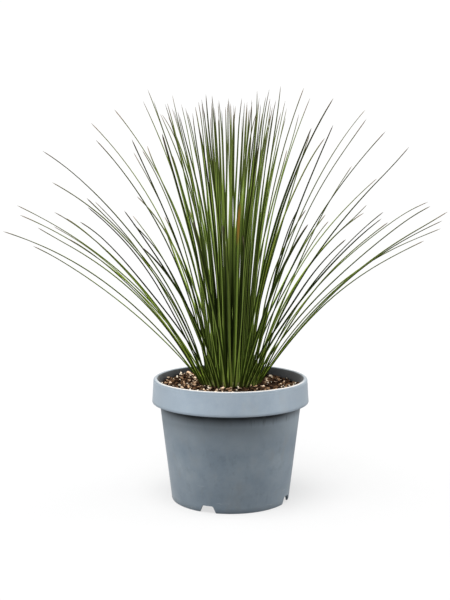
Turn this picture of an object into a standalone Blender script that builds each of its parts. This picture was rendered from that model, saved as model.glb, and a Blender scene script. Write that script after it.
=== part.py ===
"""Mexican grass tree in a plastic nursery pot.

Metres, +Z up. The origin is the middle of the pot's foot, on the surface that the
pot stands on, and -Y is the front. The pot is a turned, thin-walled moulding with a
hanging collar. The potting mix fills it, the short crown is set into the mix, and the
stiff four-angled leaves rise from rings on the crown, each ring leaning out further
than the one inside it.
"""

import math

import bmesh
import bpy
import numpy as np
from mathutils import Matrix, Vector

# ---- driving dimensions -------------------------------------------------------------
GAP = 0.0004  # between neighbouring pieces that touch

POT_HEIGHT = 0.1875
BASE_R = 0.0904  # outside radius of the foot
BODY_R = 0.1085  # outside radius of the body level with the collar's lower edge
WALL = 0.0020
COLLAR_Z = 0.1511  # the collar's lower edge
COLLAR_R = 0.1200  # outside radius there
RIM_R = 0.1177  # outside radius at the top of the collar
SKIRT = 0.0018  # thickness of the collar's hanging skirt
SKIRT_TOP_Z = 0.1815  # the recess under the skirt ends here
FLOOR_Z = 0.0120  # underside of the raised floor
FLOOR = 0.0025
FOOT_W = 0.0035  # width of the ring that the pot stands on
TURNS = 60  # facets round the pot

NOTCHES = (-112.0, -22.0, 68.0, 158.0)  # directions of the drainage notches, degrees
NOTCH_FOOT_W = 0.0235
NOTCH_TOP_W = 0.0155
NOTCH_H = 0.0108
HOLE_R = 0.0070  # drainage holes in the floor, one behind each notch
HOLE_AT = 0.0690

MIX_EDGE_Z = 0.1738  # the potting mix at the pot's wall
MIX_Z = 0.1762  # and round the crown
SOCKET_Z = 0.1500  # bottom of the hollow that the crown is set in

CROWN_R = 0.0485
DOME_H = 0.0180

LEAF_W = 0.0042  # width just above the base
LEAF_FLAT = 0.62  # thickness to width
PAD_H = 0.0022  # leaf base's clasping foot
STATIONS = (0.02, 0.17, 0.36, 0.56, 0.76, 0.92)

RING = {"b": 0.0095, "c": 0.0170, "d": 0.0240, "e": 0.0310, "f": 0.0382, "g": 0.0450}

# The front elevation is read from this point, looking slightly down, on a sheet of
# 450 by 600 squares whose middle is straight ahead.
EYE = Vector((-0.0083, -1.5690, 0.4840))
EYE_DOWN = math.radians(6.45)
EYE_SCALE = 1037.0

# Side leaves, read off the front elevation: the ring that they grow on, then for each
# leaf its direction in degrees, its tip and a point about half way down, in squares.
# Two neighbours that are joined at their bases stand together.
SIDE_LEAVES = (
    ("g", ((136, (133, 153), (172, 230)), (144, (137, 196), (175, 241)))),
    ("g", ((152, (95, 202), (125, 234)),)),
    ("g", ((160, (67, 217), (110, 255)),)),
    ("g", ((168, (54, 227), (100, 257)),)),
    ("g", ((176, (34, 246), (90, 279)),)),
    ("g", ((184, (3, 232), (100, 279)),)),
    ("g", ((192, (37, 229), (100, 265)),)),
    ("g", ((200, (68, 238), (100, 260)),)),
    ("g", ((208, (55, 212), (110, 254)),)),
    ("g", ((216, (88, 207), (125, 244)), (224, (85, 198), (141, 255)))),
    ("f", ((140, (143, 150), (166, 198)), (150, (114, 109), (161, 174)))),
    ("f", ((160, (91, 123), (131, 170)),)),
    ("f", ((170, (52, 183), (117, 230)),)),
    ("f", ((180, (17, 206), (81, 241)),)),
    ("f", ((190, (20, 215), (88, 251)),)),
    ("f", ((200, (43, 150), (112, 209)),)),
    ("f", ((210, (96, 140), (137, 192)), (220, (133, 225), (163, 259)))),
    ("g", ((-44, (298, 206), (275, 275)), (-36, (305, 210), (284, 246)))),
    ("g", ((-28, (383, 211), (315, 282)),)),
    ("g", ((-20, (388, 222), (346, 257)),)),
    ("g", ((-12, (424, 241), (385, 261)),)),
    ("g", ((-4, (442, 221), (385, 253)),)),
    ("g", ((4, (449, 213), (372, 259)),)),
    ("g", ((12, (440, 230), (380, 256)),)),
    ("g", ((20, (369, 206), (315, 259)),)),
    ("g", ((28, (364, 212), (335, 235)),)),
    ("g", ((36, (352, 166), (319, 222)), (44, (364, 110), (306, 203)))),
    ("f", ((-40, (333, 98), (301, 160)), (-30, (367, 120), (329, 175)))),
    ("f", ((-20, (385, 131), (318, 219)),)),
    ("f", ((-10, (411, 149), (347, 214)),)),
    ("f", ((0, (426, 199), (334, 270)),)),
    ("f", ((10, (430, 205), (354, 261)),)),
    ("f", ((20, (377, 178), (317, 244)),)),
    ("f", ((30, (324, 137), (277, 235)), (40, (304, 88), (266, 200)))),
)

# Tufts at the front and the back: ring, middle direction, leaves, degrees between them.
TUFTS = (
    ("front", "g", -118, 3, 8.0),
    ("front", "g", -90, 3, 8.0),
    ("front", "g", -62, 3, 8.0),
    ("front", "f", -112, 3, 12.0),
    ("front", "f", -67, 3, 12.0),
    ("back", "g", 62, 3, 8.0),
    ("back", "g", 90, 3, 8.0),
    ("back", "g", 118, 3, 8.0),
    ("back", "f", 67, 3, 12.0),
    ("back", "f", 112, 3, 12.0),
)

# Whorls inside them: ring, leaves in each group round the ring, first direction.
WHORLS = (("e", (6, 6, 6, 6, 6), 3.0), ("d", (6, 6, 6, 6), 11.0), ("c", (5, 5, 5), 20.0))
HEART_LEAVES = 8  # round the central spear

# Inner leaves that are read in the same way, by their place in the whorl.
INNER_LINES = {
    ("e", 0): ((310, 98), (270, 200)),
    ("e", 1): ((286, 108), (265, 192)),
    ("e", 2): ((285, 101), (262, 195)),
    ("e", 3): ((271, 104), (257, 190)),
    ("e", 10): ((168, 118), (202, 205)),
    ("e", 11): ((160, 112), (198, 200)),
    ("e", 12): ((171, 95), (204, 195)),
    ("e", 13): ((167, 103), (201, 193)),
    ("e", 14): ((147, 90), (196, 200)),
    ("e", 15): ((143, 101), (190, 200)),
    ("e", 16): ((152, 101), (192, 190)),
    ("e", 17): ((165, 104), (198, 195)),
    ("e", 18): ((174, 110), (202, 200)),
    ("e", 19): ((180, 116), (204, 200)),
    ("e", 26): ((267, 89), (254, 190)),
    ("e", 27): ((275, 100), (258, 185)),
    ("e", 28): ((282, 86), (259, 190)),
    ("e", 29): ((301, 115), (275, 200)),
    ("d", 0): ((276, 106), (259, 190)),
    ("d", 1): ((270, 98), (256, 190)),
    ("d", 9): ((166, 112), (199, 190)),
    ("d", 10): ((172, 108), (201, 190)),
    ("d", 11): ((177, 112), (203, 190)),
    ("d", 12): ((183, 104), (205, 190)),
    ("d", 13): ((170, 118), (201, 195)),
    ("d", 22): ((287, 118), (263, 195)),
    ("d", 23): ((281, 112), (261, 190)),
    ("c", 6): ((186, 108), (207, 190)),
    ("c", 7): ((190, 112), (208, 192)),
}

# Lean from the vertical at the base and at the tip, in degrees, and leaf length.
HABIT = {
    "g": ((32, 39), (54, 64), (0.350, 0.390)),
    "f": ((17, 23), (32, 44), (0.400, 0.440)),
    "e": ((1.5, 4.5), (13, 19), (0.396, 0.430)),
    "d": ((1.5, 4.0), (8, 14), (0.391, 0.426)),
    "c": ((0.8, 2.8), (4, 9), (0.386, 0.420)),
    "b": ((0.8, 2.2), (2, 6), (0.382, 0.416)),
}


def clear_scene():
    for obj in list(bpy.data.objects):
        bpy.data.objects.remove(obj, do_unlink=True)


def material(name, colour, roughness, metallic=0.0):
    mat = bpy.data.materials.new(name)
    mat.use_nodes = True
    shader = mat.node_tree.nodes["Principled BSDF"]
    shader.inputs["Base Color"].default_value = (*colour, 1.0)
    shader.inputs["Roughness"].default_value = roughness
    shader.inputs["Metallic"].default_value = metallic
    mat.diffuse_color = (*colour, 1.0)
    return mat


def add_object(name, bm, mat, sharp=35.0):
    bm.normal_update()
    bmesh.ops.recalc_face_normals(bm, faces=bm.faces)
    mesh = bpy.data.meshes.new(name)
    bm.to_mesh(mesh)
    bm.free()
    mesh.shade_smooth()
    mesh.set_sharp_from_angle(angle=math.radians(sharp))
    mesh.materials.append(mat)
    obj = bpy.data.objects.new(name, mesh)
    bpy.context.scene.collection.objects.link(obj)
    return obj


def turned(name, profile, mat, turns=TURNS):
    """A solid of revolution from a profile of (radius, height) that begins and ends on the axis."""
    bm = bmesh.new()
    verts = [bm.verts.new((r, 0.0, z)) for r, z in profile]
    edges = [bm.edges.new(pair) for pair in zip(verts, verts[1:])]
    bmesh.ops.spin(
        bm,
        geom=verts + edges,
        cent=(0, 0, 0),
        axis=(0, 0, 1),
        angle=2 * math.pi,
        steps=turns,
        use_duplicate=False,
    )
    bmesh.ops.remove_doubles(bm, verts=bm.verts, dist=0.00002)
    return add_object(name, bm, mat)


def cutter(name, bm):
    obj = bpy.data.objects.new(name, bpy.data.meshes.new(name))
    bm.normal_update()
    bmesh.ops.recalc_face_normals(bm, faces=bm.faces)
    bm.to_mesh(obj.data)
    bm.free()
    bpy.context.scene.collection.objects.link(obj)
    obj.hide_render = True
    obj.display_type = "WIRE"
    return obj


def cut(obj, tool):
    mod = obj.modifiers.new("cut " + tool.name, "BOOLEAN")
    mod.operation = "DIFFERENCE"
    mod.solver = "EXACT"
    mod.object = tool


# ---- pot ------------------------------------------------------------------------------
def body_r(z):
    """Outside radius of the tapered body."""
    return BASE_R + (BODY_R - BASE_R) * z / COLLAR_Z


def pot():
    top = POT_HEIGHT
    inner = lambda z: body_r(z) - WALL
    profile = [
        (0.0, FLOOR_Z),
        (BASE_R - FOOT_W - 0.0010, FLOOR_Z),
        (BASE_R - FOOT_W, FLOOR_Z - 0.0012),
        (BASE_R - FOOT_W + 0.0004, 0.0),
        (BASE_R - 0.0012, 0.0),
        (body_r(0.0012), 0.0012),
        (body_r(0.0800), 0.0800),
        (body_r(SKIRT_TOP_Z - 0.0008), SKIRT_TOP_Z - 0.0008),
        (body_r(SKIRT_TOP_Z) + 0.0008, SKIRT_TOP_Z),
        (RIM_R - SKIRT - 0.0008, SKIRT_TOP_Z),
        (RIM_R - SKIRT + 0.0001, SKIRT_TOP_Z - 0.0012),
        (COLLAR_R - SKIRT, COLLAR_Z + 0.0006),
        (COLLAR_R - SKIRT + 0.0005, COLLAR_Z),
        (COLLAR_R - 0.0006, COLLAR_Z),
        (COLLAR_R, COLLAR_Z + 0.0009),
        (RIM_R + 0.0003, top - 0.0046),
        (RIM_R - 0.0004, top - 0.0019),
        (RIM_R - 0.0020, top - 0.0004),
        (RIM_R - 0.0036, top),
        (RIM_R - 0.0054, top - 0.0006),
        (inner(top) + 0.0004, top - 0.0024),
        (inner(top - 0.0050), top - 0.0050),
        (inner(0.0800), 0.0800),
        (inner(FLOOR_Z + FLOOR + 0.0015), FLOOR_Z + FLOOR + 0.0015),
        (inner(FLOOR_Z + FLOOR) - 0.0015, FLOOR_Z + FLOOR),
        (0.0, FLOOR_Z + FLOOR),
    ]
    obj = turned("nursery_pot", profile, material("grey_blue_plastic", (0.30, 0.37, 0.43), 0.6))
    for n, way in enumerate(NOTCHES):
        turn = Matrix.Rotation(math.radians(way), 4, "Z")
        bm = bmesh.new()
        bmesh.ops.create_cube(bm, size=1.0)
        for vert in bm.verts:
            low = vert.co.z < 0
            vert.co = (
                BASE_R - 0.002 + 0.020 * vert.co.x,
                vert.co.y * (NOTCH_FOOT_W * 1.18 if low else NOTCH_TOP_W),
                -0.0020 if low else NOTCH_H,
            )
        bm.transform(turn)
        cut(obj, cutter(f"notch_cutter_{n + 1}", bm))
        bm = bmesh.new()
        bmesh.ops.create_cone(
            bm, cap_ends=True, segments=16, radius1=HOLE_R, radius2=HOLE_R, depth=0.012
        )
        bm.transform(turn @ Matrix.Translation((HOLE_AT, 0, FLOOR_Z + 0.5 * FLOOR)))
        cut(obj, cutter(f"hole_cutter_{n + 1}", bm))
    return obj


def potting_mix():
    low = FLOOR_Z + FLOOR + GAP
    wall = lambda z: body_r(z) - WALL - GAP - 0.0002
    profile = [
        (0.0, low),
        (wall(low) - 0.0020, low),
        (wall(low + 0.0022), low + 0.0022),
        (wall(MIX_EDGE_Z), MIX_EDGE_Z),
        (0.0985, MIX_EDGE_Z + 0.0006),
        (0.0800, MIX_EDGE_Z + 0.0011),
        (0.0620, MIX_Z - 0.0006),
        (CROWN_R + 2.2 * GAP, MIX_Z),
        (CROWN_R + 2.2 * GAP, SOCKET_Z),
        (0.0, SOCKET_Z),
    ]
    return turned("potting_mix", profile, material("bark_mix", (0.075, 0.045, 0.026), 0.95))


def dome_z(r):
    return MIX_Z + DOME_H * (1.0 - (r / CROWN_R) ** 2)


def dome_point(r, way, lift=0.0):
    """A point on the crown's dome at this radius and direction, or above it along its normal."""
    slope = 2.0 * DOME_H * r / CROWN_R**2
    n = math.hypot(slope, 1.0)
    rr = r + lift * slope / n
    return Vector((rr * math.cos(way), rr * math.sin(way), dome_z(r) + lift / n))


def crown():
    radii = [0.0475, 0.0430, 0.0370, 0.0300, 0.0230, 0.0150, 0.0070]
    profile = [(0.0, SOCKET_Z + GAP), (CROWN_R - 0.004, SOCKET_Z + GAP), (CROWN_R, SOCKET_Z + 0.006), (CROWN_R, MIX_Z)]
    profile += [(r, dome_z(r)) for r in radii] + [(0.0, dome_z(0.0))]
    return turned("crown", profile, material("crown_base", (0.28, 0.30, 0.12), 0.7), 48)


# ---- leaves ---------------------------------------------------------------------------
class Leaf:
    """A leaf's middle line: a parabolic arc from its base, a, over its control point, b, to its tip, c."""

    def __init__(self, way, base, b, c, width, roll):
        self.way, self.a, self.b, self.c, self.width, self.roll = way, base, b, c, width, roll

    def at(self, s):
        return self.a * (1 - s) ** 2 + self.b * (2 * s * (1 - s)) + self.c * s**2

    def along(self, s):
        return ((self.b - self.a) * (1 - s) + (self.c - self.b) * s).normalized()

    def wide(self, s):
        """Width at s: nearly even in the lower half, then drawn out to the point."""
        return self.width * max(1.0 - s, 0.0) ** 0.50

    def points(self, count=44):
        return np.array([self.at(s) for s in np.linspace(0, 1, count)])

    def widths(self, count=44):
        return np.array([self.wide(s) for s in np.linspace(0, 1, count)])


def clear_of(leaf, others):
    """Whether a leaf keeps a gap to each leaf that is already placed."""
    p, w = leaf.points(), leaf.widths()
    for n, (q, v) in enumerate(others):
        run = q[1:] - q[:-1]
        d = p[:, None, :] - q[None, :-1, :]
        t = np.clip((d * run).sum(axis=2) / (run * run).sum(axis=1), 0.0, 1.0)
        apart = np.linalg.norm(d - t[:, :, None] * run, axis=2)
        if (apart < 0.5 * (w[:, None] + v[None, :-1]) + 0.0009).any():
            # the next try is tested against this leaf first
            others.insert(0, others.pop(n))
            return False
    return True


def on_leaf_plane(way, square):
    """Where the sight line through a square of the front elevation meets the upright plane of a leaf."""
    ahead = Vector((0, math.cos(EYE_DOWN), -math.sin(EYE_DOWN)))
    up = Vector((0, math.sin(EYE_DOWN), math.cos(EYE_DOWN)))
    sight = ahead + Vector((1, 0, 0)) * ((square[0] - 225) / EYE_SCALE) + up * ((300 - square[1]) / EYE_SCALE)
    normal = Vector((-math.sin(way), math.cos(way), 0))
    return EYE + sight * (-normal.dot(EYE) / normal.dot(sight))


def read_leaf(ring, degrees, swing, tip, middle, width, roll):
    way, lies = math.radians(degrees), math.radians(degrees + swing)
    base = dome_point(RING[ring], way, GAP + PAD_H)
    c, m = on_leaf_plane(lies, tip), on_leaf_plane(lies, middle)
    t = (m - base).length
    t /= t + (c - m).length
    b = (m - base * (1 - t) ** 2 - c * t**2) / (2 * t * (1 - t))
    # no leaf sets out towards the plant's middle
    out = Vector((math.cos(way), math.sin(way), 0))
    b += out * max(0.0, 0.035 * (b - base).z - (b - base).dot(out))
    return Leaf(way, base, b, c, width, roll)


def habit_leaf(ring, degrees, rng, wander, stray):
    """A leaf with its ring's habit, whose direction wanders by some degrees, further as stray grows."""
    lean0, lean1, long_ = HABIT[ring]
    wander *= 1 + 0.5 * stray
    lean0, lean1 = (lean0[0] - 0.4 * stray, lean0[1] + 0.4 * stray), (lean1[0] - stray, lean1[1] + stray)
    way = math.radians(degrees)
    base = dome_point(RING[ring], way, GAP + PAD_H)
    a0 = math.radians(rng.uniform(*lean0))
    a1 = math.radians(rng.uniform(*lean1))
    way0 = way + math.radians(rng.uniform(-1, 1) * wander)
    way1 = way0 + math.radians(rng.uniform(-1, 1) * wander)
    length = rng.uniform(*long_)
    b = base + Vector((math.sin(a0) * math.cos(way0), math.sin(a0) * math.sin(way0), math.cos(a0))) * (0.5 * length)
    c = b + Vector((math.sin(a1) * math.cos(way1), math.sin(a1) * math.sin(way1), math.cos(a1))) * (0.5 * length)
    return Leaf(way, base, b, c, LEAF_W * rng.uniform(0.86, 1.06), rng.uniform(-30, 30))


def place_leaves():
    """Every leaf, as (node name, ring, [leaves]) in an order that never changes."""
    rng = np.random.default_rng(41)
    placed, groups = [], []

    def settle(make):
        """The first try that is clear of the leaves already placed; each try may stray a little further."""
        for attempt in range(600):
            leaf = make(attempt / 40)
            if clear_of(leaf, placed):
                break
        else:
            print("a leaf found no clear place")
        placed.append((leaf.points(), leaf.widths()))
        return leaf

    def settle_line(ring, degrees, tip, middle):
        width, roll = LEAF_W * rng.uniform(0.88, 1.04), rng.uniform(-30, 30)

        def nudged(square, k):
            return tuple(v + 0.4 * min(k, 8) * rng.uniform(-1, 1) for v in square)

        return settle(
            lambda k: read_leaf(
                ring, degrees, min(k, 6) * rng.uniform(-2, 2), nudged(tip, k), nudged(middle, k), width, roll
            )
        )

    count = {name: 0 for name in ("left_leaf", "left_pair", "right_leaf", "right_pair", "front", "back")}
    for ring, lines in SIDE_LEAVES:
        leaves = [settle_line(ring, *line) for line in lines]
        kind = ("left" if 90 < lines[0][0] < 270 else "right") + ("_pair" if len(lines) > 1 else "_leaf")
        count[kind] += 1
        groups.append((f"{kind}_{count[kind]:02d}", ring, leaves))
    for side, ring, middle, number, step in TUFTS:
        leaves = [
            settle(lambda k: habit_leaf(ring, middle + step * (i - 0.5 * (number - 1)), rng, 4.0, k))
            for i in range(number)
        ]
        count[side] += 1
        groups.append((f"{side}_leaves_{count[side]}", ring, leaves))
    for ring, sizes, first in WHORLS:
        step = 360.0 / sum(sizes)
        at = 0
        for g, size in enumerate(sizes):
            leaves = []
            for n in range(at, at + size):
                if (ring, n) in INNER_LINES:
                    leaves.append(settle_line(ring, first + step * n, *INNER_LINES[ring, n]))
                else:
                    leaves.append(settle(lambda k: habit_leaf(ring, first + step * n, rng, 8.0, k)))
            at += size
            groups.append((f"inner_leaves_{ring}{g + 1}", ring, leaves))
    heart = [settle(lambda k: habit_leaf("b", 360.0 / HEART_LEAVES * i, rng, 12.0, k)) for i in range(HEART_LEAVES)]
    base = dome_point(0.0, 0.0, GAP + PAD_H)
    spear = Leaf(0.0, base, base + Vector((0.001, 0.001, 0.205)), base + Vector((-0.004, 0.003, 0.412)), LEAF_W, 0.0)
    groups.append(("heart_leaves", "b", heart + [spear]))
    return groups


def section(leaf, s, count, first):
    """Corners of the four-angled section at s, starting on the side that faces the plant's middle."""
    along = leaf.along(s)
    across = Vector((-math.sin(leaf.way), math.cos(leaf.way), 0))
    across = (across - along * across.dot(along)).normalized()
    inward = along.cross(across)
    half = 0.5 * leaf.wide(s)
    corners = []
    for k in range(count):
        a = first + 2 * math.pi * k / count
        corners.append(
            leaf.at(s) + across * (half * math.cos(a)) + inward * (half * LEAF_FLAT * math.sin(a))
        )
    return corners


def grow(bm, face, leaf):
    """Extrudes one cell of the base along the leaf and closes it in a point."""
    middle = face.calc_center_median()
    count = len(face.verts)
    across = Vector((-math.sin(leaf.way), math.cos(leaf.way), 0))
    out = Vector((math.cos(leaf.way), math.sin(leaf.way), 0))

    def angle(vert):
        d = vert.co - middle
        return math.atan2(-d.dot(out), d.dot(across)) % (2 * math.pi)

    ordered = sorted(face.verts, key=angle)
    places = [v.co.copy() for v in ordered]
    first = 0.0 if count == 4 else angle(ordered[0])
    for s in STATIONS:
        face = bmesh.ops.extrude_discrete_faces(bm, faces=[face])["faces"][0]
        corners = section(leaf, s, count, first)
        verts = list(face.verts)
        for place, corner in zip(places, corners):
            vert = min(verts, key=lambda v: (v.co - place).length)
            verts.remove(vert)
            vert.co = corner
        places = corners
    bmesh.ops.pointmerge(bm, verts=list(face.verts), merge_co=leaf.c)


def strip_cells(ring, leaves):
    """Directions of the cell borders: half way between leaves, and a leaf's half width outside the end ones."""
    ways = [leaf.way for leaf in leaves]
    end = 0.00265 / RING[ring]
    if len(ways) > 1:
        end = min(end, 0.5 * (ways[1] - ways[0]) - 0.0004 / RING[ring])
    return [ways[0] - end] + [0.5 * (a + b) for a, b in zip(ways, ways[1:])] + [ways[-1] + end]


def leaf_object(name, ring, leaves, mat):
    bm = bmesh.new()
    r = RING[ring]
    half = 0.0023
    if name == "heart_leaves":
        borders = [2 * math.pi * (k + 0.5) / HEART_LEAVES for k in range(HEART_LEAVES)]
        low, high = [], []
        for lift, rows in ((GAP, low), (GAP + PAD_H, high)):
            for rr in (r - 0.0040, r + 0.0030):
                rows.append([bm.verts.new(dome_point(rr, b, lift)) for b in borders])
        cells = []
        for k in range(HEART_LEAVES):
            j = (k + 1) % HEART_LEAVES
            bm.faces.new((low[0][k], low[0][j], low[1][j], low[1][k]))
            bm.faces.new((low[1][k], low[1][j], high[1][j], high[1][k]))
            # The cell from border k to border k + 1 holds leaf k + 1.
            cells.append((j, bm.faces.new((high[0][k], high[1][k], high[1][j], high[0][j]))))
        bm.faces.new(low[0])
        cells.append((HEART_LEAVES, bm.faces.new(high[0])))
        for k, face in cells:
            grow(bm, face, leaves[k])
        return add_object(name, bm, mat)
    borders = strip_cells(ring, leaves)
    low = [[bm.verts.new(dome_point(rr, b, GAP)) for b in borders] for rr in (r - half, r + half)]
    high = [[bm.verts.new(dome_point(rr, b, GAP + PAD_H)) for b in borders] for rr in (r - half, r + half)]
    cells = []
    for k in range(len(leaves)):
        bm.faces.new((low[0][k], low[0][k + 1], low[1][k + 1], low[1][k]))
        bm.faces.new((low[0][k], high[0][k], high[0][k + 1], low[0][k + 1]))
        bm.faces.new((low[1][k], low[1][k + 1], high[1][k + 1], high[1][k]))
        cells.append(bm.faces.new((high[0][k], high[1][k], high[1][k + 1], high[0][k + 1])))
    for k in (0, -1):
        bm.faces.new((low[0][k], low[1][k], high[1][k], high[0][k]))
    for face, leaf in zip(cells, leaves):
        grow(bm, face, leaf)
    return add_object(name, bm, mat)


def main():
    clear_scene()
    pot()
    potting_mix()
    crown()
    leaf_green = material("leaf_green", (0.10, 0.17, 0.035), 0.5)
    leaf_inner = material("leaf_inner_green", (0.13, 0.21, 0.045), 0.5)
    for name, ring, leaves in place_leaves():
        leaf_object(name, ring, leaves, leaf_green if ring in "fg" else leaf_inner)


main()
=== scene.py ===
"""The finished look of the potted grass tree: leaves, crown, bark mix and plastic pot."""

import math

import bmesh
import bpy
import numpy as np
from mathutils import Matrix, Vector, noise


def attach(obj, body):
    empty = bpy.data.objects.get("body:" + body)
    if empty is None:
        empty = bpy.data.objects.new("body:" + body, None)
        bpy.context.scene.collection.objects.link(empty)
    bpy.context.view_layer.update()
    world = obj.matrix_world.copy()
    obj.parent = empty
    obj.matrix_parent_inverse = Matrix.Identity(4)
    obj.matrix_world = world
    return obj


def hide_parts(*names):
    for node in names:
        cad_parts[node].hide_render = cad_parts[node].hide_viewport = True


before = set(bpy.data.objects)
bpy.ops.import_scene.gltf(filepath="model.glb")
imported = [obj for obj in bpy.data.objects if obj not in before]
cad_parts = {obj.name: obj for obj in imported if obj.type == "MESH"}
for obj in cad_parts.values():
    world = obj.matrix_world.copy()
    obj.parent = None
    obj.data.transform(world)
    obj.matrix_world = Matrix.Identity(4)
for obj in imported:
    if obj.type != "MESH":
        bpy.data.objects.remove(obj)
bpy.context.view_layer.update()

# ---- sizes, in metres, the same as the construction's ----------------------------------
GAP = 0.0004
POT_HEIGHT = 0.1875
BASE_R = 0.0904
BODY_R = 0.1085
WALL = 0.0020
COLLAR_Z = 0.1511
COLLAR_R = 0.1200
RIM_R = 0.1177
SKIRT = 0.0018
SKIRT_TOP_Z = 0.1815
FLOOR_Z = 0.0120
FLOOR = 0.0025
FOOT_W = 0.0035
NOTCHES = (-112.0, -22.0, 68.0, 158.0)
NOTCH_FOOT_W = 0.0235
NOTCH_TOP_W = 0.0155
NOTCH_H = 0.0108
HOLE_R = 0.0070
HOLE_AT = 0.0690
MIX_EDGE_Z = 0.1738
MIX_Z = 0.1762
SOCKET_Z = 0.1500
CROWN_R = 0.0485
DOME_H = 0.0180
LEAF_W = 0.0042
LEAF_FLAT = 0.62
PAD_H = 0.0022
RING = {"b": 0.0095, "c": 0.0170, "d": 0.0240, "e": 0.0310, "f": 0.0382, "g": 0.0450}
EYE = Vector((-0.0083, -1.5690, 0.4840))
EYE_DOWN = math.radians(6.45)
EYE_SCALE = 1037.0

SIDE_LEAVES = (
    ("g", ((136, (133, 153), (172, 230)), (144, (137, 196), (175, 241)))),
    ("g", ((152, (95, 202), (125, 234)),)),
    ("g", ((160, (67, 217), (110, 255)),)),
    ("g", ((168, (54, 227), (100, 257)),)),
    ("g", ((176, (34, 246), (90, 279)),)),
    ("g", ((184, (3, 232), (100, 279)),)),
    ("g", ((192, (37, 229), (100, 265)),)),
    ("g", ((200, (68, 238), (100, 260)),)),
    ("g", ((208, (55, 212), (110, 254)),)),
    ("g", ((216, (88, 207), (125, 244)), (224, (85, 198), (141, 255)))),
    ("f", ((140, (143, 150), (166, 198)), (150, (114, 109), (161, 174)))),
    ("f", ((160, (91, 123), (131, 170)),)),
    ("f", ((170, (52, 183), (117, 230)),)),
    ("f", ((180, (17, 206), (81, 241)),)),
    ("f", ((190, (20, 215), (88, 251)),)),
    ("f", ((200, (43, 150), (112, 209)),)),
    ("f", ((210, (96, 140), (137, 192)), (220, (133, 225), (163, 259)))),
    ("g", ((-44, (298, 206), (275, 275)), (-36, (305, 210), (284, 246)))),
    ("g", ((-28, (383, 211), (315, 282)),)),
    ("g", ((-20, (388, 222), (346, 257)),)),
    ("g", ((-12, (424, 241), (385, 261)),)),
    ("g", ((-4, (442, 221), (385, 253)),)),
    ("g", ((4, (449, 213), (372, 259)),)),
    ("g", ((12, (440, 230), (380, 256)),)),
    ("g", ((20, (369, 206), (315, 259)),)),
    ("g", ((28, (364, 212), (335, 235)),)),
    ("g", ((36, (352, 166), (319, 222)), (44, (364, 110), (306, 203)))),
    ("f", ((-40, (333, 98), (301, 160)), (-30, (367, 120), (329, 175)))),
    ("f", ((-20, (385, 131), (318, 219)),)),
    ("f", ((-10, (411, 149), (347, 214)),)),
    ("f", ((0, (426, 199), (334, 270)),)),
    ("f", ((10, (430, 205), (354, 261)),)),
    ("f", ((20, (377, 178), (317, 244)),)),
    ("f", ((30, (324, 137), (277, 235)), (40, (304, 88), (266, 200)))),
)
TUFTS = (
    ("front", "g", -118, 3, 8.0),
    ("front", "g", -90, 3, 8.0),
    ("front", "g", -62, 3, 8.0),
    ("front", "f", -112, 3, 12.0),
    ("front", "f", -67, 3, 12.0),
    ("back", "g", 62, 3, 8.0),
    ("back", "g", 90, 3, 8.0),
    ("back", "g", 118, 3, 8.0),
    ("back", "f", 67, 3, 12.0),
    ("back", "f", 112, 3, 12.0),
)
WHORLS = (("e", (6, 6, 6, 6, 6), 3.0), ("d", (6, 6, 6, 6), 11.0), ("c", (5, 5, 5), 20.0))
HEART_LEAVES = 8
INNER_LINES = {
    ("e", 0): ((310, 98), (270, 200)),
    ("e", 1): ((286, 108), (265, 192)),
    ("e", 2): ((285, 101), (262, 195)),
    ("e", 3): ((271, 104), (257, 190)),
    ("e", 10): ((168, 118), (202, 205)),
    ("e", 11): ((160, 112), (198, 200)),
    ("e", 12): ((171, 95), (204, 195)),
    ("e", 13): ((167, 103), (201, 193)),
    ("e", 14): ((147, 90), (196, 200)),
    ("e", 15): ((143, 101), (190, 200)),
    ("e", 16): ((152, 101), (192, 190)),
    ("e", 17): ((165, 104), (198, 195)),
    ("e", 18): ((174, 110), (202, 200)),
    ("e", 19): ((180, 116), (204, 200)),
    ("e", 26): ((267, 89), (254, 190)),
    ("e", 27): ((275, 100), (258, 185)),
    ("e", 28): ((282, 86), (259, 190)),
    ("e", 29): ((301, 115), (275, 200)),
    ("d", 0): ((276, 106), (259, 190)),
    ("d", 1): ((270, 98), (256, 190)),
    ("d", 9): ((166, 112), (199, 190)),
    ("d", 10): ((172, 108), (201, 190)),
    ("d", 11): ((177, 112), (203, 190)),
    ("d", 12): ((183, 104), (205, 190)),
    ("d", 13): ((170, 118), (201, 195)),
    ("d", 22): ((287, 118), (263, 195)),
    ("d", 23): ((281, 112), (261, 190)),
    ("c", 6): ((186, 108), (207, 190)),
    ("c", 7): ((190, 112), (208, 192)),
}
HABIT = {
    "g": ((32, 39), (54, 64), (0.350, 0.390)),
    "f": ((17, 23), (32, 44), (0.400, 0.440)),
    "e": ((1.5, 4.5), (13, 19), (0.396, 0.430)),
    "d": ((1.5, 4.0), (8, 14), (0.391, 0.426)),
    "c": ((0.8, 2.8), (4, 9), (0.386, 0.420)),
    "b": ((0.8, 2.2), (2, 6), (0.382, 0.416)),
}


def body_r(z):
    return BASE_R + (BODY_R - BASE_R) * z / COLLAR_Z


def dome_z(r):
    return MIX_Z + DOME_H * (1.0 - (r / CROWN_R) ** 2)


def dome_point(r, way, lift=0.0):
    slope = 2.0 * DOME_H * r / CROWN_R**2
    n = math.hypot(slope, 1.0)
    rr = r + lift * slope / n
    return Vector((rr * math.cos(way), rr * math.sin(way), dome_z(r) + lift / n))


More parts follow.
